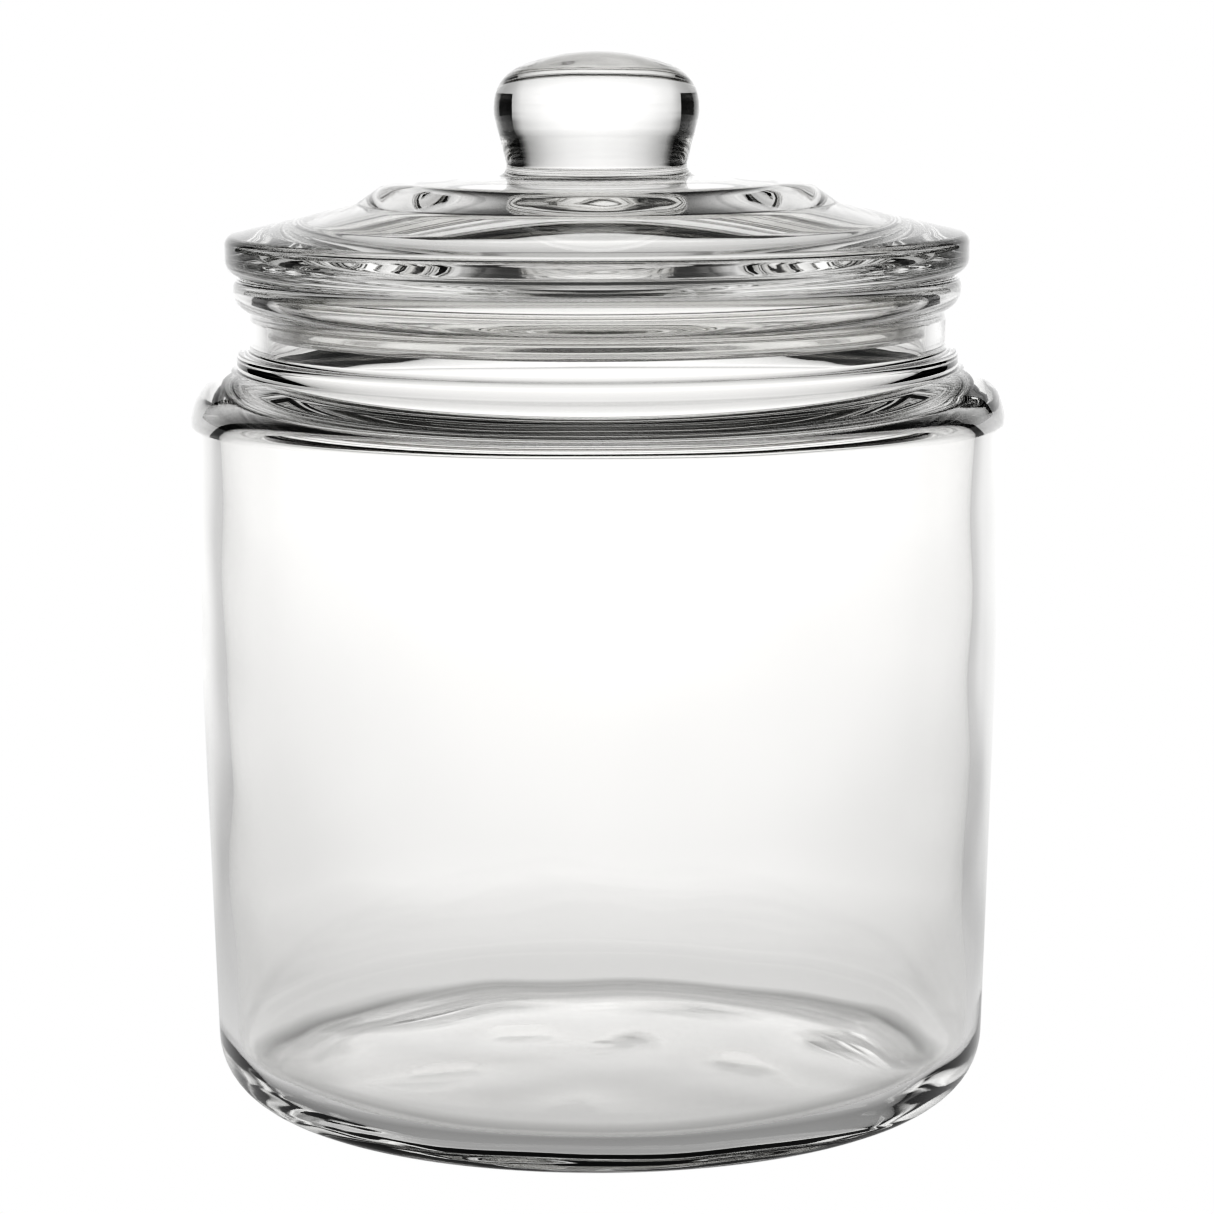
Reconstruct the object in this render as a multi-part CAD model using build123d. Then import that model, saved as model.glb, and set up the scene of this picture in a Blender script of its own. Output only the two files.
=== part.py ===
from build123d import *
import os

# Lidded glass canister, in millimetres.
# The origin is at the centre of the base, on the surface that the jar stands on, and +Z is up.
# Every piece is turned about Z, so each is drawn as a half section of (radius, height) points.

# ---- Driving dimensions ----
body_diameter = 185.0        # widest, just under the shoulder
mouth_height = 188.4         # base to the top of the jar's rim
overall_height = 238.4       # base to the top of the knob, with the lid on
neck_diameter = 158.0        # outside of the neck
slip = 0.3                   # gap between pieces that move past each other

# ---- Jar: outside ----
body_radius = body_diameter / 2
neck_radius = neck_diameter / 2
foot_radius = body_radius - 4.6          # where the tapered wall would meet the table
heel_rounding = 14.5
ring_inner_radius = foot_radius - 20.0   # inner edge of the flat ring that the jar stands on
push_up = 3.0                            # rise of the underside at its centre
shoulder_top = mouth_height - 20.8
shoulder_start = shoulder_top - 12.2     # where the wall begins to turn in
ledge_radius = neck_radius + 2.8
ledge_top = shoulder_top + 3.7
ledge_rounding = 1.2
bead_radius = neck_radius + 3.5
bead_bottom = mouth_height - 7.8         # where the bead's underside meets the neck
bead_widest = mouth_height - 3.0
bead_top_rounding = 2.8

# ---- Jar: inside. The glass is thickest at the shoulder, where the neck gathers it ----
bore_radius = neck_radius - 4.4
mouth_rounding = 2.0
throat_rounding = 4.2
inner_body_radius = body_radius - 7.0
inner_foot_radius = foot_radius - 4.5
inner_shoulder_top = shoulder_top - 8.2
inner_shoulder_rounding = 5.0
inner_heel_rounding = 10.0
base_glass = 6.5

# ---- Lid: outside ----
seat_height = mouth_height + slip        # underside of the flange
flange_radius = bead_radius + 1.7
flange_top = seat_height + 8.7
flange_top_rounding = 2.5
flange_under_rounding = 3.7
cone_top_radius = 54.5
cone_top = flange_top + 7.0
crown_radius = cone_top_radius - 7.0
crown_edge = cone_top + 4.9
crown_top = crown_edge + 1.3
crown_rounding = 8.0
crown_foot_rounding = 3.0
knob_radius = 23.2
knob_dome_radius = 46.0
knob_edge_rounding = 9.5
knob_widest_low = overall_height - 14.4
knob_side_rounding = 8.0
knob_foot_radius = 19.8
knob_foot_rounding = 2.4

# ---- Lid: underside and plug skirt ----
skirt_radius = bore_radius - 2.3
skirt_glass = 4.7
skirt_bottom = mouth_height - 13.5
skirt_rounding = 1.9
skirt_top_rounding = 0.8
ceiling_top = crown_top - 5.5
ceiling_flat_radius = 29.4               # the shallow dome under the knob and the crown
ceiling_sag = 1.6                        # how far that dome falls to its edge
ceiling_bend = 14.5
ceiling_edge = seat_height + 2.6         # where the sloping part of the ceiling meets the skirt
ceiling_rounding = 5.0

# ---- Seal: a sleeve round the skirt with fins that wipe the neck ----
sleeve_inner_radius = skirt_radius + slip
sleeve_radius = sleeve_inner_radius + 0.9
fin_radius = bore_radius - slip
fin_thickness = 1.1
fin_rounding = 0.35
fin_count = 3
fin_pitch = 3.3
seal_top = mouth_height - 4.0
seal_bottom = seal_top - 9.0
top_fin_height = seal_top - 1.2


def turned(outline, corners):
    """Close a half section, round its (radius, height, rounding) corners, and turn it about Z."""
    section = make_face(outline)
    for radius, height, rounding in corners:
        corner = section.vertices().sort_by_distance((radius, height))[0]
        section = fillet(corner, rounding)
    return revolve(Plane.XZ * section, Axis.Z)


def dome(centre, edge):
    """Arc that is level at the axis and falls to the edge, so that it turns into part of a sphere."""
    return TangentArc(centre, edge, tangent=(1, 0))


def jar_body():
    """The jar: tapered wall, rounded shoulder, a ledge at the neck's foot and a bead round the mouth."""
    floor_edge = base_glass
    floor_centre = base_glass + push_up
    wall = Line((foot_radius, 0), (body_radius, shoulder_start))
    outside = [
        dome((0, push_up), (ring_inner_radius, 0)),
        Line((ring_inner_radius, 0), (foot_radius, 0)),
        wall,
        TangentArc(wall @ 1, (ledge_radius, shoulder_top), tangent=wall % 1),
        Polyline(
            (ledge_radius, shoulder_top),
            (ledge_radius, ledge_top),
            (neck_radius, ledge_top),
            (neck_radius, bead_bottom),
        ),
        TangentArc((bead_radius, bead_widest), (neck_radius, bead_bottom), tangent=(0, -1)),
        Polyline((bead_radius, bead_widest), (bead_radius, mouth_height), (bore_radius, mouth_height)),
    ]
    inside = [
        Polyline(
            (bore_radius, mouth_height),
            (bore_radius, inner_shoulder_top),
            (inner_body_radius, inner_shoulder_top),
            (inner_foot_radius, floor_edge),
            (ring_inner_radius, floor_edge),
        ),
        dome((0, floor_centre), (ring_inner_radius, floor_edge)),
        Line((0, floor_centre), (0, push_up)),
    ]
    corners = [
        (foot_radius, 0, heel_rounding),
        (ledge_radius, ledge_top, ledge_rounding),
        (neck_radius, ledge_top, ledge_rounding),
        (bead_radius, mouth_height, bead_top_rounding),
        (bore_radius, mouth_height, mouth_rounding),
        (bore_radius, inner_shoulder_top, throat_rounding),
        (inner_body_radius, inner_shoulder_top, inner_shoulder_rounding),
        (inner_foot_radius, floor_edge, inner_heel_rounding),
    ]
    return turned(outside + inside, corners)


def lid():
    """The lid, pressed in one piece: solid knob, raised crown, sloping flange and a hollow plug skirt."""
    knob_shoulder = overall_height - knob_dome_radius + (knob_dome_radius**2 - knob_radius**2) ** 0.5
    skirt_inner_radius = skirt_radius - skirt_glass
    outline = [
        dome((0, overall_height), (knob_radius, knob_shoulder)),
        Polyline(
            (knob_radius, knob_shoulder),
            (knob_radius, knob_widest_low),
            (knob_foot_radius, crown_top),
            (crown_radius, crown_edge),
            (cone_top_radius, cone_top),
            (flange_radius, flange_top),
            (flange_radius, seat_height),
            (skirt_radius, seat_height),
            (skirt_radius, skirt_bottom),
            (skirt_inner_radius, skirt_bottom),
            (skirt_inner_radius, ceiling_edge),
            (ceiling_flat_radius, ceiling_top - ceiling_sag),
        ),
        dome((0, ceiling_top), (ceiling_flat_radius, ceiling_top - ceiling_sag)),
        Line((0, ceiling_top), (0, overall_height)),
    ]
    corners = [
        (knob_radius, knob_shoulder, knob_edge_rounding),
        (knob_radius, knob_widest_low, knob_side_rounding),
        (knob_foot_radius, crown_top, knob_foot_rounding),
        (crown_radius, crown_edge, crown_rounding),
        (cone_top_radius, cone_top, crown_foot_rounding),
        (flange_radius, flange_top, flange_top_rounding),
        (flange_radius, seat_height, flange_under_rounding),
        (skirt_radius, seat_height, skirt_top_rounding),
        (skirt_radius, skirt_bottom, skirt_rounding),
        (skirt_inner_radius, skirt_bottom, skirt_rounding),
        (skirt_inner_radius, ceiling_edge, ceiling_rounding),
        (ceiling_flat_radius, ceiling_top - ceiling_sag, ceiling_bend),
    ]
    return turned(outline, corners)


def lid_seal():
    """The soft seal: a thin sleeve round the lid's skirt, with fins that reach out to the neck."""
    sleeve_outline = Polyline(
        (sleeve_inner_radius, seal_bottom),
        (sleeve_radius, seal_bottom),
        (sleeve_radius, seal_top),
        (sleeve_inner_radius, seal_top),
        close=True,
    )
    seal = turned(sleeve_outline, [])
    for fin in range(fin_count):
        top = top_fin_height - fin * fin_pitch
        bottom = top - fin_thickness
        fin_outline = Polyline(
            (sleeve_inner_radius, bottom),
            (fin_radius, bottom),
            (fin_radius, top),
            (sleeve_inner_radius, top),
            close=True,
        )
        seal += turned(fin_outline, [(fin_radius, bottom, fin_rounding), (fin_radius, top, fin_rounding)])
    return seal


pieces = {
    "jar_body": jar_body(),
    "lid": lid(),
    "lid_seal": lid_seal(),
}

os.makedirs("parts", exist_ok=True)
for name, solid in pieces.items():
    export_step(solid, f"parts/{name}.step")
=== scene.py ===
import math

import bpy
from mathutils import Matrix, Vector, noise


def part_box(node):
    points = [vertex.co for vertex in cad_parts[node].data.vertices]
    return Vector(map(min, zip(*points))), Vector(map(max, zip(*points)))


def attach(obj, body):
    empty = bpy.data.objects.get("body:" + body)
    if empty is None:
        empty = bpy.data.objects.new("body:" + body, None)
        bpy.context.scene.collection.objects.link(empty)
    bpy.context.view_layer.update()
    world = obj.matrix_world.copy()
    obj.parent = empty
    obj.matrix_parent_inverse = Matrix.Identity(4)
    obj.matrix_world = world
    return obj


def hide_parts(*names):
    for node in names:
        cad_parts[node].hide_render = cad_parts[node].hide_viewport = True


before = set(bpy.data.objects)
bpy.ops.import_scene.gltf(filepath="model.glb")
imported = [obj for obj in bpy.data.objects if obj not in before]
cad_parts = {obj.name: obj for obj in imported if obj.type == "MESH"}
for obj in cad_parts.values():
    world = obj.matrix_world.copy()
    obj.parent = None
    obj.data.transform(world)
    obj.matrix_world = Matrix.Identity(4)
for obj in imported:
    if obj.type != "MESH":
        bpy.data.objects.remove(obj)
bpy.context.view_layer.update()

# Looks of a lidded glass canister. Lengths are in metres; MM writes a length given in millimetres.
MM = 0.001

# ---- Sizes read from the frame ----
_, jar_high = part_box("jar_body")
lid_low, lid_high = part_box("lid")
seal_low, seal_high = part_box("lid_seal")
body_radius = jar_high.x
mouth_height = jar_high.z
overall_height = lid_high.z
flange_radius = lid_high.x
skirt_bottom = lid_low.z
seal_bottom = seal_low.z
seal_top = seal_high.z
fin_radius = seal_high.x

slip = 0.3 * MM              # gap between pieces that move past each other

# ---- Mesh fineness ----
TURN_STEPS = 240             # steps round the axis
RUN_STEP = 2.6 * MM          # longest step along a straight run
ARC_STEP = math.radians(7)   # longest step round an arc
DOME_STEPS = 12
CEILING_STEPS = 10
SAME_POINT = 0.01 * MM       # points nearer than this are one point


# ---------------------------------------------------------------- outlines

def rounded(corners):
    """Points along straight runs between (radius, height, rounding) corners, with an arc at each rounding."""
    points = []
    for i, (radius, height, rounding) in enumerate(corners):
        corner = Vector((radius, height))
        if rounding == 0 or i in (0, len(corners) - 1):
            points.append(corner)
            continue
        back = (Vector(corners[i - 1][:2]) - corner).normalized()
        ahead = (Vector(corners[i + 1][:2]) - corner).normalized()
        half_turn = (math.pi - back.angle(ahead)) / 2
        centre = corner + (back + ahead).normalized() * rounding / math.cos(half_turn)
        start = corner + back * rounding * math.tan(half_turn)
        steps = max(2, math.ceil(2 * half_turn / ARC_STEP))
        points += arc(centre, start, 2 * half_turn * side_of(back, ahead), steps)
    return points


def side_of(back, ahead):
    """1 where the outline turns to its left, and -1 where it turns to its right."""
    return -1.0 if back.x * ahead.y - back.y * ahead.x > 0 else 1.0


def arc(centre, start, turn, steps):
    """Points on the arc that starts at start and turns by an angle about centre."""
    spoke = start - centre
    points = []
    for step in range(steps + 1):
        angle = turn * step / steps
        points.append(centre + Vector((
            spoke.x * math.cos(angle) - spoke.y * math.sin(angle),
            spoke.x * math.sin(angle) + spoke.y * math.cos(angle),
        )))
    return points


def dome(crown, edge_radius, edge_height, steps):
    """(radius, height, 0) corners of a shallow dome, from the axis out to just short of its edge."""
    rise = crown - edge_height
    sphere = (edge_radius**2 + rise**2) / (2 * rise)
    radii = [edge_radius * step / steps for step in range(steps)]
    return [(radius, crown - sphere + math.sqrt(sphere**2 - radius**2), 0) for radius in radii]


def fine(points, longest):
    """The same outline with its long runs cut into short equal steps, and no point given twice."""
    result = [points[0]]
    for point in points[1:]:
        start = result[-1]
        length = (point - start).length
        if length < SAME_POINT:
            continue
        steps = math.ceil(length / longest)
        result += [start.lerp(point, step / steps) for step in range(1, steps + 1)]
    return result


def add_mesh(name, vertices, faces):
    """A new object in the scene with this mesh."""
    mesh = bpy.data.meshes.new(name)
    mesh.from_pydata(vertices, [], faces)
    piece = bpy.data.objects.new(name, mesh)
    bpy.context.scene.collection.objects.link(piece)
    return piece


def lathe(name, outline, shape=None, closed=False):
    """A mesh turned about Z. An open outline starts and ends on the axis; a closed one is a ring."""
    vertices = []
    rings = []
    for radius, height in outline:
        if radius < SAME_POINT:
            rings.append([len(vertices)])
            vertices.append(Vector((0, 0, height)))
            continue
        rings.append(list(range(len(vertices), len(vertices) + TURN_STEPS)))
        for step in range(TURN_STEPS):
            angle = 2 * math.pi * step / TURN_STEPS
            vertices.append(Vector((radius * math.cos(angle), radius * math.sin(angle), height)))
    faces = []
    pairs = list(zip(rings, rings[1:]))
    if closed:
        pairs.append((rings[-1], rings[0]))
    for lower, upper in pairs:
        for step in range(TURN_STEPS):
            following = (step + 1) % TURN_STEPS
            if len(lower) == 1:
                faces.append((lower[0], upper[following], upper[step]))
            elif len(upper) == 1:
                faces.append((lower[step], lower[following], upper[0]))
            else:
                faces.append((lower[step], lower[following], upper[following], upper[step]))
    if shape:
        vertices = [shape(vertex) for vertex in vertices]
    piece = add_mesh(name, vertices, faces)
    piece.data.shade_smooth()
    piece.data.update()
    return piece


def tangent_arc(start, heading, end):
    """Points on the arc that leaves start along heading and reaches end."""
    chord = end - start
    side = Vector((-heading.y, heading.x)).normalized()
    reach = chord.length_squared / (2 * side.dot(chord))
    centre = start + side * reach
    turn = 2 * math.asin(min(1.0, chord.length / (2 * abs(reach))))
    steps = max(2, math.ceil(turn / ARC_STEP))
    return arc(centre, start, math.copysign(turn, reach), steps)


# ---------------------------------------------------------------- jar

neck_radius = body_radius - 13.5 * MM
bore_radius = neck_radius - 4.4 * MM
foot_radius = body_radius - 4.6 * MM
heel_rounding = 14.5 * MM
ring_inner_radius = foot_radius - 20.0 * MM
push_up = 3.0 * MM
floor_edge = 6.5 * MM
shoulder_top = mouth_height - 20.8 * MM
shoulder_start = shoulder_top - 12.2 * MM
inner_shoulder_top = shoulder_top - 8.2 * MM
inner_top_radius = body_radius - 7.0 * MM
inner_foot_radius = foot_radius - 4.5 * MM
ledge_radius = neck_radius + 2.8 * MM
ledge_top = shoulder_top + 3.7 * MM
ledge_rounding = 1.2 * MM
bead_radius = neck_radius + 3.5 * MM
bead_bottom = mouth_height - 7.8 * MM
bead_widest = mouth_height - 3.0 * MM
bead_top_rounding = 2.8 * MM
mouth_rounding = 2.0 * MM
throat_rounding = 4.2 * MM
inner_shoulder_rounding = 5.0 * MM
inner_heel_rounding = 10.0 * MM


def jar_outline():
    """The jar's section, from under its base, up the outside, over the mouth and down to its floor."""
    base = rounded(
        dome(push_up, ring_inner_radius, 0, DOME_STEPS)
        + [
            (ring_inner_radius, 0, 0),
            (foot_radius, 0, heel_rounding),
            (body_radius, shoulder_start, 0),
        ]
    )
    wall_top = Vector((body_radius, shoulder_start))
    wall_heading = wall_top - Vector((foot_radius, 0))
    shoulder = tangent_arc(wall_top, wall_heading, Vector((ledge_radius, shoulder_top)))
    neck = rounded([
        (ledge_radius, shoulder_top, 0),
        (ledge_radius, ledge_top, ledge_rounding),
        (neck_radius, ledge_top, ledge_rounding),
        (neck_radius, bead_bottom, 0),
    ])
    bead_under = tangent_arc(
        Vector((bead_radius, bead_widest)), Vector((0, -1)), Vector((neck_radius, bead_bottom))
    )[::-1]
    inside = rounded(
        [
            (bead_radius, bead_widest, 0),
            (bead_radius, mouth_height, bead_top_rounding),
            (bore_radius, mouth_height, mouth_rounding),
            (bore_radius, inner_shoulder_top, throat_rounding),
            (inner_top_radius, inner_shoulder_top, inner_shoulder_rounding),
            (inner_foot_radius, floor_edge, inner_heel_rounding),
            (ring_inner_radius, floor_edge, 0),
        ]
        + dome(floor_edge + push_up, ring_inner_radius, floor_edge, DOME_STEPS)[::-1]
    )
    return base + shoulder + neck + bead_under + inside


# ---------------------------------------------------------------- lid

seat_height = mouth_height + slip
flange_top = seat_height + 8.7 * MM
cone_top_radius = 54.5 * MM
cone_top = flange_top + 7.0 * MM
crown_radius = cone_top_radius - 7.0 * MM
crown_edge = cone_top + 4.9 * MM
crown_top = crown_edge + 1.3 * MM
knob_radius = 23.2 * MM
knob_foot_radius = 19.8 * MM
knob_widest_low = overall_height - 14.4 * MM
knob_dome_radius = 46.0 * MM
knob_edge_rounding = 9.5 * MM
skirt_radius = bore_radius - 2.3 * MM
skirt_inner_radius = skirt_radius - 4.7 * MM
ceiling_edge = seat_height + 2.6 * MM
ceiling_top = crown_top - 5.5 * MM
ceiling_flat_radius = 29.4 * MM
ceiling_sag = 1.6 * MM
ceiling_bend = 14.5 * MM
ceiling_rounding = 5.0 * MM
skirt_rounding = 1.9 * MM
skirt_top_rounding = 0.8 * MM
flange_under_rounding = 3.7 * MM
flange_top_rounding = 2.5 * MM
crown_rounding = 8.0 * MM
crown_foot_rounding = 3.0 * MM
knob_foot_rounding = 2.4 * MM
knob_side_rounding = 8.0 * MM


def knob_top():
    """The knob's rounded edge and its domed top, from its widest part in to the axis."""
    dome_centre = Vector((0, overall_height - knob_dome_radius))
    edge_radius = knob_radius - knob_edge_rounding
    between = knob_dome_radius - knob_edge_rounding
    edge_centre = Vector((edge_radius, dome_centre.y + math.sqrt(between**2 - edge_radius**2)))
    meeting_angle = math.atan2(edge_centre.y - dome_centre.y, edge_centre.x - dome_centre.x)
    edge = arc(edge_centre, edge_centre + Vector((knob_edge_rounding, 0)), meeting_angle, DOME_STEPS)
    top = arc(dome_centre, edge[-1], math.pi / 2 - meeting_angle, DOME_STEPS)
    top[-1].x = 0
    return edge + top


def lid_outline():
    """The lid's section, from its ceiling, round the skirt and the flange and up over the knob.

    The last corner of the rounded part only gives its last run a direction, and is left off.
    """
    under_and_over = rounded(
        dome(ceiling_top, ceiling_flat_radius, ceiling_top - ceiling_sag, CEILING_STEPS)
        + [
            (ceiling_flat_radius, ceiling_top - ceiling_sag, ceiling_bend),
            (skirt_inner_radius, ceiling_edge, ceiling_rounding),
            (skirt_inner_radius, skirt_bottom, skirt_rounding),
            (skirt_radius, skirt_bottom, skirt_rounding),
            (skirt_radius, seat_height, skirt_top_rounding),
            (flange_radius, seat_height, flange_under_rounding),
            (flange_radius, flange_top, flange_top_rounding),
            (cone_top_radius, cone_top, crown_foot_rounding),
            (crown_radius, crown_edge, crown_rounding),
            (knob_foot_radius, crown_top, knob_foot_rounding),
            (knob_radius, knob_widest_low, knob_side_rounding),
            (knob_radius, knob_widest_low + 0.6 * MM, 0),
        ]
    )
    return under_and_over[:-1] + knob_top()


# ---------------------------------------------------------------- seal

sleeve_inner_radius = skirt_radius + slip
sleeve_radius = sleeve_inner_radius + 0.9 * MM
sleeve_rounding = 0.2 * MM
fin_count = 3
fin_pitch = 3.3 * MM
fin_thickness = 1.1 * MM
fin_draft = 0.15 * MM        # how much each side of a fin draws in towards its tip
fin_rounding = 0.35 * MM
top_fin_height = seal_top - 1.2 * MM


def seal_outline():
    """The seal's section: a thin sleeve with fins, drawn once round from the middle of its inner face.

    It ends just above where it starts, and the lathe closes it.
    """
    middle = (seal_top + seal_bottom) / 2
    corners = [
        (sleeve_inner_radius, middle, 0),
        (sleeve_inner_radius, seal_bottom, sleeve_rounding),
        (sleeve_radius, seal_bottom, sleeve_rounding),
    ]
    for fin in reversed(range(fin_count)):
        top = top_fin_height - fin * fin_pitch
        bottom = top - fin_thickness
        corners += [
            (sleeve_radius, bottom, sleeve_rounding),
            (fin_radius, bottom + fin_draft, fin_rounding),
            (fin_radius, top - fin_draft, fin_rounding),
            (sleeve_radius, top, sleeve_rounding),
        ]
    corners += [
        (sleeve_radius, seal_top, sleeve_rounding),
        (sleeve_inner_radius, seal_top, sleeve_rounding),
        (sleeve_inner_radius, middle + 0.5 * MM, 0),
    ]
    return rounded(corners)


# ---------------------------------------------------------------- glass that isn't quite even

# Each is (height of the waves or depth of the hollows, their size across).
FLOOR_WAVES = (0.55 * MM, 24 * MM)
DRAWN_WAVES = (0.36 * MM, 40 * MM)       # in the jar's inner wall, drawn out along its height
WALL_WAVES = (0.20 * MM, 26 * MM)        # in the jar's inner wall, as wide as they are high
OUTER_HOLLOWS = (0.10 * MM, 60 * MM)
KNOB_HOLLOWS = (0.10 * MM, 7 * MM)
CROWN_HOLLOWS = (0.08 * MM, 12 * MM)
DRAWN_OUT = 0.35                         # how fast a drawn wave changes up the wall, against round it
CALM_SHOULDER = 0.3                      # the waves' share that is left from the shoulder up
CALMING_HEIGHT = 20 * MM                 # the height over which the waves calm down below the shoulder
KNOB_CAP_HEIGHT = 12 * MM
NECK_DEPTH = 1.7 * MM                    # a depth inside the neck's glass
WALL_DEPTH = 2.0 * MM                    # a depth inside the glass at the foot

# The jar's floor lies between these heights and inside this radius. The ring that it stands on stays flat.
floor_zone_low = push_up + 1 * MM
floor_zone_high = floor_edge + 4 * MM
floor_zone_radius = foot_radius - 8 * MM
flat_ring_height = 2 * MM


def wall_middle(height):
    """The radius at a height that parts the jar's inner face from its outer one.

    The top of the outer shoulder falls inside this radius too.
    """
    if height > shoulder_top:
        return neck_radius - NECK_DEPTH
    return foot_radius + (body_radius - foot_radius) * height / shoulder_start - WALL_DEPTH


def waves(point, height_and_size, seed):
    """Smooth noise that goes this high above and below zero, with bumps of about this size."""
    height, size = height_and_size
    return height * noise.noise(point / size + Vector((seed, 2 * seed, 3 * seed)))


def hollows(point, depth_and_size, seed):
    """Smooth noise from zero to this depth, with hollows of about this size."""
    depth, _ = depth_and_size
    return (depth + waves(point, depth_and_size, seed)) / 2


def uneven_jar(point):
    """The jar's inside is wavier than its outside, which only ever moves inward.

    The exception is the top of the shoulder, which waves with the calm end of the inner wall.
    """
    radius = math.hypot(point.x, point.y)
    if radius < SAME_POINT:
        return point
    outward = Vector((point.x, point.y, 0)) / radius
    if floor_zone_low < point.z < floor_zone_high and radius < floor_zone_radius:
        return point + Vector((0, 0, waves(point, FLOOR_WAVES, 5)))
    if radius < wall_middle(point.z) and point.z > floor_edge:
        drawn = Vector((point.x, point.y, DRAWN_OUT * point.z))
        below_shoulder = min(1.0, max(0.0, (inner_shoulder_top - point.z) / CALMING_HEIGHT))
        share = CALM_SHOULDER + (1 - CALM_SHOULDER) * below_shoulder
        return point + outward * share * (waves(drawn, DRAWN_WAVES, 9) + waves(point, WALL_WAVES, 2))
    if point.z > flat_ring_height:
        return point - outward * hollows(point, OUTER_HOLLOWS, 3)
    return point


def uneven_lid(point):
    """The knob, and the crown's glass above and below, sink faintly here and there, and never rise."""
    radius = math.hypot(point.x, point.y)
    if point.z > overall_height - KNOB_CAP_HEIGHT:
        return point - Vector((0, 0, hollows(point, KNOB_HOLLOWS, 4)))
    if radius < crown_radius - crown_rounding and point.z > flange_top:
        return point - Vector((0, 0, hollows(point, CROWN_HOLLOWS, 6)))
    return point


# ---------------------------------------------------------------- nodes

def new_material(name):
    """An empty node material, its nodes and its links."""
    material = bpy.data.materials.new(name)
    material.use_nodes = True
    nodes = material.node_tree.nodes
    nodes.clear()
    return material, nodes, material.node_tree.links


def feed(links, sockets, values):
    """Give each input socket its value, which is a constant or another node's output."""
    for socket, value in zip(sockets, values):
        if isinstance(value, (int, float, tuple)):
            socket.default_value = value
        else:
            links.new(value, socket)


def math_node(nodes, links, operation, *values):
    """The output of one math node."""
    node = nodes.new("ShaderNodeMath")
    node.operation = operation
    feed(links, node.inputs, values)
    return node.outputs["Value"]


def vector_math(nodes, links, operation, *values):
    """One vector math node."""
    node = nodes.new("ShaderNodeVectorMath")
    node.operation = operation
    feed(links, node.inputs, values)
    return node


def noise_node(nodes, links, place, scale, detail):
    """The output of one noise texture at a place."""
    node = nodes.new("ShaderNodeTexNoise")
    node.inputs["Scale"].default_value = scale
    node.inputs["Detail"].default_value = detail
    links.new(place, node.inputs["Vector"])
    return node.outputs["Fac"]


def mixed(nodes, links, share, first, second):
    """first where share is 0, second where it is 1."""
    node = nodes.new("ShaderNodeMix")
    number_sockets = (node.inputs[2], node.inputs[3])    # the rest are for vectors and colours
    feed(links, (node.inputs["Factor"], *number_sockets), (share, first, second))
    return node.outputs[0]


def ranged(nodes, links, source, source_range, result_range):
    """The source's range spread over another range, and held at its ends."""
    node = nodes.new("ShaderNodeMapRange")
    node.inputs["From Min"].default_value, node.inputs["From Max"].default_value = source_range
    node.inputs["To Min"].default_value, node.inputs["To Max"].default_value = result_range
    links.new(source, node.inputs["Value"])
    return node.outputs["Result"]


def graph(nodes, links, source, stops):
    """A curve through (input, output) stops, made of a colour ramp from the first input to the last."""
    low, high = stops[0][0], stops[-1][0]
    peak = max(level for _, level in stops)
    ramp = nodes.new("ShaderNodeValToRGB")
    elements = ramp.color_ramp.elements
    for i, (where, level) in enumerate(stops):
        position = (where - low) / (high - low)
        element = elements[i] if i < 2 else elements.new(position)
        element.position = position
        element.color = (level / peak, level / peak, level / peak, 1)
    links.new(ranged(nodes, links, source, (low, high), (0, 1)), ramp.inputs["Fac"])
    return math_node(nodes, links, "MULTIPLY", ramp.outputs["Color"], peak)


# ---------------------------------------------------------------- materials

GLASS_COLOUR = (1.0, 0.997, 0.990, 1)
GLASS_TINT = (0.82, 0.82, 0.79, 1)       # what is left of white light in its thickness
GLASS_TINT_DENSITY = 2.0
GLASS_IOR = 1.52
GLASS_HAZE = (35, 3)                     # noise scale and detail
GLASS_ROUGHNESS = (0.0, 0.02)
HAZY_NOISE = (0.45, 0.75)                # clear up to the first noise level, hazy from the second
JAR_STREAK_DEPTH = 0.0004 * MM
LID_STREAK_DEPTH = 0.002 * MM
STREAK_SCALE = (30, 30, 80)              # waves a metre along X, Y and Z
RING_SCALE = (90, 70, 40)                # waves a metre outward from the axis, in each axis of the noise

SEAL_COLOUR = (0.78, 0.78, 0.77, 1)
SEAL_IOR = 1.45
SEAL_FROST = (180, 4)                    # noise scale and detail
SEAL_ROUGHNESS = (0.0, 0.06)
SEAL_FROST_DEPTH = 0.008 * MM


def streaks(nodes, links, place):
    """Noise drawn out along rings round the axis, as the mould and the turning leave it in glass."""
    flat = vector_math(nodes, links, "MULTIPLY", place, (1, 1, 0)).outputs["Vector"]
    radius = vector_math(nodes, links, "LENGTH", flat).outputs["Value"]
    stretched = vector_math(nodes, links, "MULTIPLY", place, STREAK_SCALE).outputs["Vector"]
    ringed = vector_math(nodes, links, "MULTIPLY_ADD", radius, RING_SCALE, stretched).outputs["Vector"]
    return noise_node(nodes, links, ringed, 1.0, 2)


def bumped(nodes, links, height, depth, shader):
    """Feed a height, drawn at a depth in metres, to a shader's normal."""
    bump = nodes.new("ShaderNodeBump")
    bump.inputs["Strength"].default_value = 1.0
    bump.inputs["Distance"].default_value = depth
    links.new(height, bump.inputs["Height"])
    links.new(bump.outputs["Normal"], shader.inputs["Normal"])


def clear_shader(nodes, colour, ior):
    """A shader that lets all its light through."""
    shader = nodes.new("ShaderNodeBsdfPrincipled")
    shader.inputs["Base Color"].default_value = colour
    shader.inputs["Transmission Weight"].default_value = 1.0
    shader.inputs["IOR"].default_value = ior
    return shader


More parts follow.
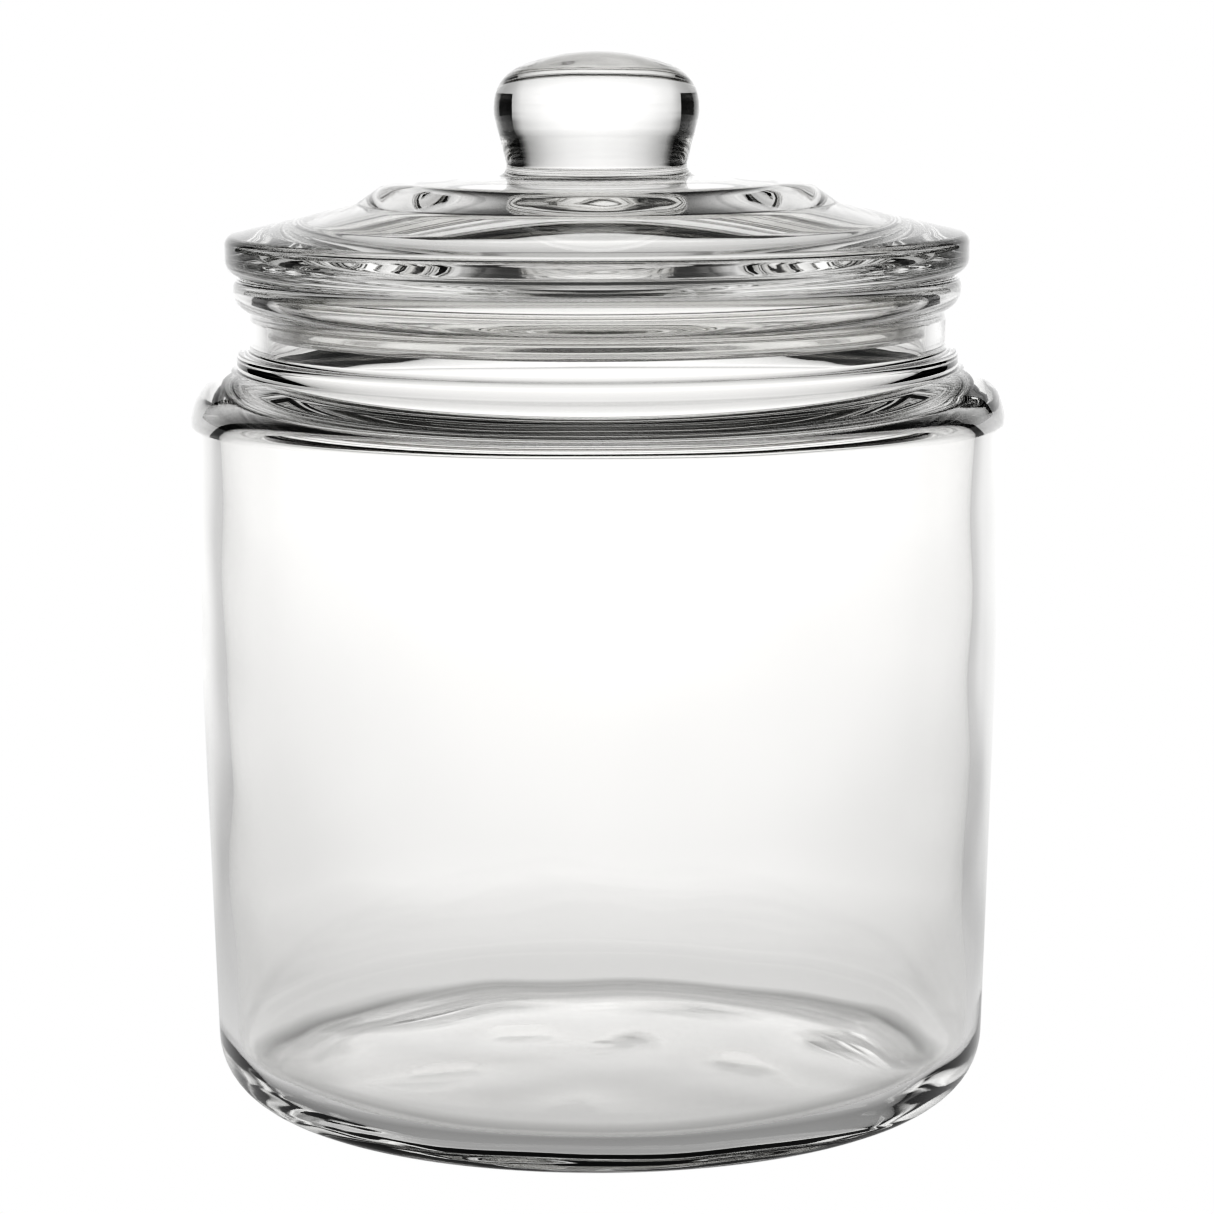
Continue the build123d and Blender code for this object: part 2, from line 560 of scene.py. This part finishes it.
def clear_glass(name, streak_depth):
    """Clear soda-lime glass: faint streaks, a trace of haze and a nearly neutral tint in its thickness."""
    material, nodes, links = new_material(name)
    shader = clear_shader(nodes, GLASS_COLOUR, GLASS_IOR)
    place = nodes.new("ShaderNodeTexCoord").outputs["Object"]
    haze = noise_node(nodes, links, place, *GLASS_HAZE)
    links.new(ranged(nodes, links, haze, HAZY_NOISE, GLASS_ROUGHNESS), shader.inputs["Roughness"])
    bumped(nodes, links, streaks(nodes, links, place), streak_depth, shader)
    tint = nodes.new("ShaderNodeVolumeAbsorption")
    tint.inputs["Color"].default_value = GLASS_TINT
    tint.inputs["Density"].default_value = GLASS_TINT_DENSITY
    output = nodes.new("ShaderNodeOutputMaterial")
    links.new(shader.outputs["BSDF"], output.inputs["Surface"])
    links.new(tint.outputs["Volume"], output.inputs["Volume"])
    return material


def soft_plastic():
    """The seal's clear soft plastic, a little grey and a little frosty."""
    material, nodes, links = new_material("seal_clear")
    shader = clear_shader(nodes, SEAL_COLOUR, SEAL_IOR)
    place = nodes.new("ShaderNodeTexCoord").outputs["Object"]
    frost = noise_node(nodes, links, place, *SEAL_FROST)
    links.new(ranged(nodes, links, frost, (0, 1), SEAL_ROUGHNESS), shader.inputs["Roughness"])
    bumped(nodes, links, frost, SEAL_FROST_DEPTH, shader)
    output = nodes.new("ShaderNodeOutputMaterial")
    links.new(shader.outputs["BSDF"], output.inputs["Surface"])
    return material


# ---------------------------------------------------------------- pieces

def add_piece(name, outline, material, body, node, shape=None, closed=False):
    """A turned piece that stands for a CAD node and rides on its body."""
    piece = lathe(name, fine(outline, RUN_STEP), shape, closed)
    piece.data.materials.append(material)
    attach(piece, body)
    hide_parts(node)
    return piece


def build_canister():
    blown = clear_glass("jar_glass", JAR_STREAK_DEPTH)
    pressed = clear_glass("lid_glass", LID_STREAK_DEPTH)
    add_piece("jar_glass", jar_outline(), blown, "jar", "jar_body", uneven_jar)
    add_piece("lid_glass", lid_outline(), pressed, "lid", "lid", uneven_lid)
    add_piece("seal_ring", seal_outline(), soft_plastic(), "seal", "lid_seal", closed=True)


# ---------------------------------------------------------------- studio

# The stops of the backdrop, of its share and of the floor aren't all chosen by hand. A scratch program
# fitted them to the photo's greys, and they were then rounded and in part changed by hand.

# How the room glows, as (degrees above the horizon, brightness) stops.
# The backdrop stands behind the canister, and the room is the rest.
BACKDROP = [
    (-90, 1.3), (0, 1.25), (8, 1.15), (14, 0.95), (20, 0.5),
    (26, 0.2), (35, 0.05), (60, 0.03), (75, 0.1), (90, 0.2),
]
ROOM = [(-90, 0.5), (0, 0.5), (6, 0.1), (10, 0.05), (15, 0.02), (60, 0.02), (90, 0.1)]

# The share of the backdrop, and of the bright floor in front, as (degrees round from +Y, share) stops.
BACKDROP_SHARE = [(0, 1.0), (12, 0.93), (22, 0.77), (35, 0.48), (42, 0.1), (48, 0.0), (180, 0.0)]
FRONT_SHARE = [(0, 0.0), (105, 0.0), (135, 1.0), (180, 1.0)]

# How the floor glows, as (metres from the canister's axis, brightness) stops.
# A darker ring under the jar's foot is a painted contact shadow.
FLOOR_BEHIND = [
    (0, 0.65), (0.08, 0.9), (0.12, 1.1), (0.2, 0.98), (0.3, 0.95), (0.6, 1.05), (1.2, 1.25), (3.0, 1.35),
]
FLOOR_AROUND_WITH_PAINTED_SHADOW = [
    (0, 0.75), (0.062, 0.68), (0.07, 0.4), (0.074, 0.25), (0.082, 0.3), (0.088, 0.75),
    (0.12, 0.68), (0.2, 0.57), (0.35, 0.45), (0.6, 0.55), (1.5, 0.55), (3.0, 0.45),
]
FLOOR_FRONT = 0.85           # brightness in front, wherever it is clear of the jar

# Under the jar the floor is the same all round. Further out, by these (metres from the axis, share) stops,
# it differs behind the jar and in front.
CLEAR_OF_JAR = [(0, 0), (0.1, 0), (0.25, 1), (1, 1)]

FLOOR_RADIUS = 4.0
FLOOR_STEPS = 96
FLOOR_GAP = 0.5 * MM         # under the jar's base, so that the two don't touch
SEEN_WHITE = 1.0             # what the camera itself sees of the room and the floor


def angle_from_backdrop(nodes, links, vector):
    """A vector's heading, in degrees from 0 at the backdrop's middle (+Y) to 180, and its rise along Z."""
    parts = nodes.new("ShaderNodeSeparateXYZ")
    links.new(vector, parts.inputs["Vector"])
    heading = math_node(nodes, links, "ARCTAN2", parts.outputs["X"], parts.outputs["Y"])
    degrees = math_node(nodes, links, "DEGREES", heading)
    return math_node(nodes, links, "ABSOLUTE", degrees), parts.outputs["Z"]


def studio_world():
    """Soft light all round: a backdrop lit behind the canister and a dim room at the sides."""
    world = bpy.data.worlds.new("studio")
    bpy.context.scene.world = world
    world.use_nodes = True
    nodes = world.node_tree.nodes
    links = world.node_tree.links
    nodes.clear()
    place = nodes.new("ShaderNodeTexCoord")
    heading, rise = angle_from_backdrop(nodes, links, place.outputs["Generated"])
    elevation = math_node(nodes, links, "DEGREES", math_node(nodes, links, "ARCSINE", rise))
    share = graph(nodes, links, heading, BACKDROP_SHARE)
    brightness = mixed(
        nodes, links, share, graph(nodes, links, elevation, ROOM), graph(nodes, links, elevation, BACKDROP)
    )
    path = nodes.new("ShaderNodeLightPath")
    seen = mixed(nodes, links, path.outputs["Is Camera Ray"], brightness, SEEN_WHITE)
    light = nodes.new("ShaderNodeBackground")
    light.inputs["Color"].default_value = (1, 1, 1, 1)
    links.new(seen, light.inputs["Strength"])
    output = nodes.new("ShaderNodeOutputWorld")
    links.new(light.outputs["Background"], output.inputs["Surface"])


def glow(nodes, links, strength):
    """Make a material's surface glow."""
    light = nodes.new("ShaderNodeEmission")
    feed(links, [light.inputs["Strength"]], [strength])
    output = nodes.new("ShaderNodeOutputMaterial")
    links.new(light.outputs["Emission"], output.inputs["Surface"])


def disc(name, radius, height):
    """A flat round mesh."""
    angles = [2 * math.pi * step / FLOOR_STEPS for step in range(FLOOR_STEPS)]
    ring = [(radius * math.cos(angle), radius * math.sin(angle), height) for angle in angles]
    return add_mesh(name, ring, [tuple(range(FLOOR_STEPS))])


def studio_floor():
    """A wide pale floor that glows like a light table, most of all behind the canister, and that the camera
    sees plain white. Its glow holds a painted contact shadow, a dark ring under the jar's foot.
    """
    floor = disc("floor", FLOOR_RADIUS, -FLOOR_GAP)
    material, nodes, links = new_material("floor")
    place = nodes.new("ShaderNodeTexCoord").outputs["Object"]
    heading, _ = angle_from_backdrop(nodes, links, place)
    away = vector_math(nodes, links, "LENGTH", place).outputs["Value"]
    clear_of_jar = graph(nodes, links, away, CLEAR_OF_JAR)
    behind = math_node(nodes, links, "MULTIPLY", graph(nodes, links, heading, BACKDROP_SHARE), clear_of_jar)
    in_front = math_node(nodes, links, "MULTIPLY", graph(nodes, links, heading, FRONT_SHARE), clear_of_jar)
    # The glow around the jar holds a painted contact shadow: a dark ring under its foot.
    glow_around_with_painted_shadow = graph(nodes, links, away, FLOOR_AROUND_WITH_PAINTED_SHADOW)
    glow_behind = graph(nodes, links, away, FLOOR_BEHIND)
    brightness = mixed(nodes, links, behind, glow_around_with_painted_shadow, glow_behind)
    brightness = mixed(nodes, links, in_front, brightness, FLOOR_FRONT)
    path = nodes.new("ShaderNodeLightPath")
    glow(nodes, links, mixed(nodes, links, path.outputs["Is Camera Ray"], brightness, SEEN_WHITE))
    floor.data.materials.append(material)


# The dark cards: metres from the axis, metres above the floor, and degrees round from +Y
CARD_DISTANCE = 0.55
CARD_LOW, CARD_HIGH = 0.17, 0.8
CARD_START, CARD_END = 42, 95
CARD_STEPS = 24
CARD_GLOW = 0.015


def dark_card(name, side):
    """A dark curved card beside the lid, out of the picture, that draws the glass's dark edges."""
    points = []
    for step in range(CARD_STEPS + 1):
        angle = math.radians(CARD_START + (CARD_END - CARD_START) * step / CARD_STEPS)
        x, y = side * CARD_DISTANCE * math.sin(angle), CARD_DISTANCE * math.cos(angle)
        points += [(x, y, CARD_LOW), (x, y, CARD_HIGH)]
    faces = [(2 * i, 2 * i + 1, 2 * i + 3, 2 * i + 2) for i in range(CARD_STEPS)]
    card = add_mesh(name, points, faces)
    material, nodes, links = new_material(name)
    glow(nodes, links, CARD_GLOW)
    card.data.materials.append(material)
    card.visible_camera = False


# The camera, in millimetres of lens and film, metres and degrees
LENS, FILM_WIDTH = 123.7, 36.0
CAMERA_PLACE = (0, -0.946, 0.2577)
CAMERA_TURN = -0.117
CAMERA_TIP = 8.77            # below level
CAMERA_LEAN = -0.22


def camera():
    """The camera: a long lens just above the lid, tipped down a little."""
    data = bpy.data.cameras.new("camera")
    data.lens = LENS
    data.sensor_width = FILM_WIDTH
    piece = bpy.data.objects.new("camera", data)
    bpy.context.scene.collection.objects.link(piece)
    piece.location = CAMERA_PLACE
    turn = Matrix.Rotation(math.radians(CAMERA_TURN), 4, "Z")
    tip = Matrix.Rotation(math.radians(90 - CAMERA_TIP), 4, "X")
    lean = Matrix.Rotation(math.radians(CAMERA_LEAN), 4, "Z")
    piece.rotation_euler = (turn @ tip @ lean).to_euler()
    bpy.context.scene.camera = piece


# The picture's contrast, as (light in the scene, light in the picture) points
CONTRAST = [(0.0, 0.0), (0.06, 0.012), (0.12, 0.05), (0.2, 0.135), (0.35, 0.32), (0.6, 0.6), (1.0, 1.0)]


def look():
    """Plain colours with a little more contrast in the darks, and enough bounces for thick glass."""
    scene = bpy.context.scene
    scene.view_settings.view_transform = "Standard"
    scene.view_settings.use_curve_mapping = True
    mapping = scene.view_settings.curve_mapping
    combined = mapping.curves[3]     # the three before it are for red, green and blue
    for light, shown in CONTRAST[1:-1]:
        combined.points.new(light, shown)
    mapping.update()
    scene.cycles.max_bounces = 32
    scene.cycles.transmission_bounces = 32
    scene.cycles.glossy_bounces = 16


build_canister()
studio_world()
studio_floor()
dark_card("card_left", -1)
dark_card("card_right", 1)
camera()
look()
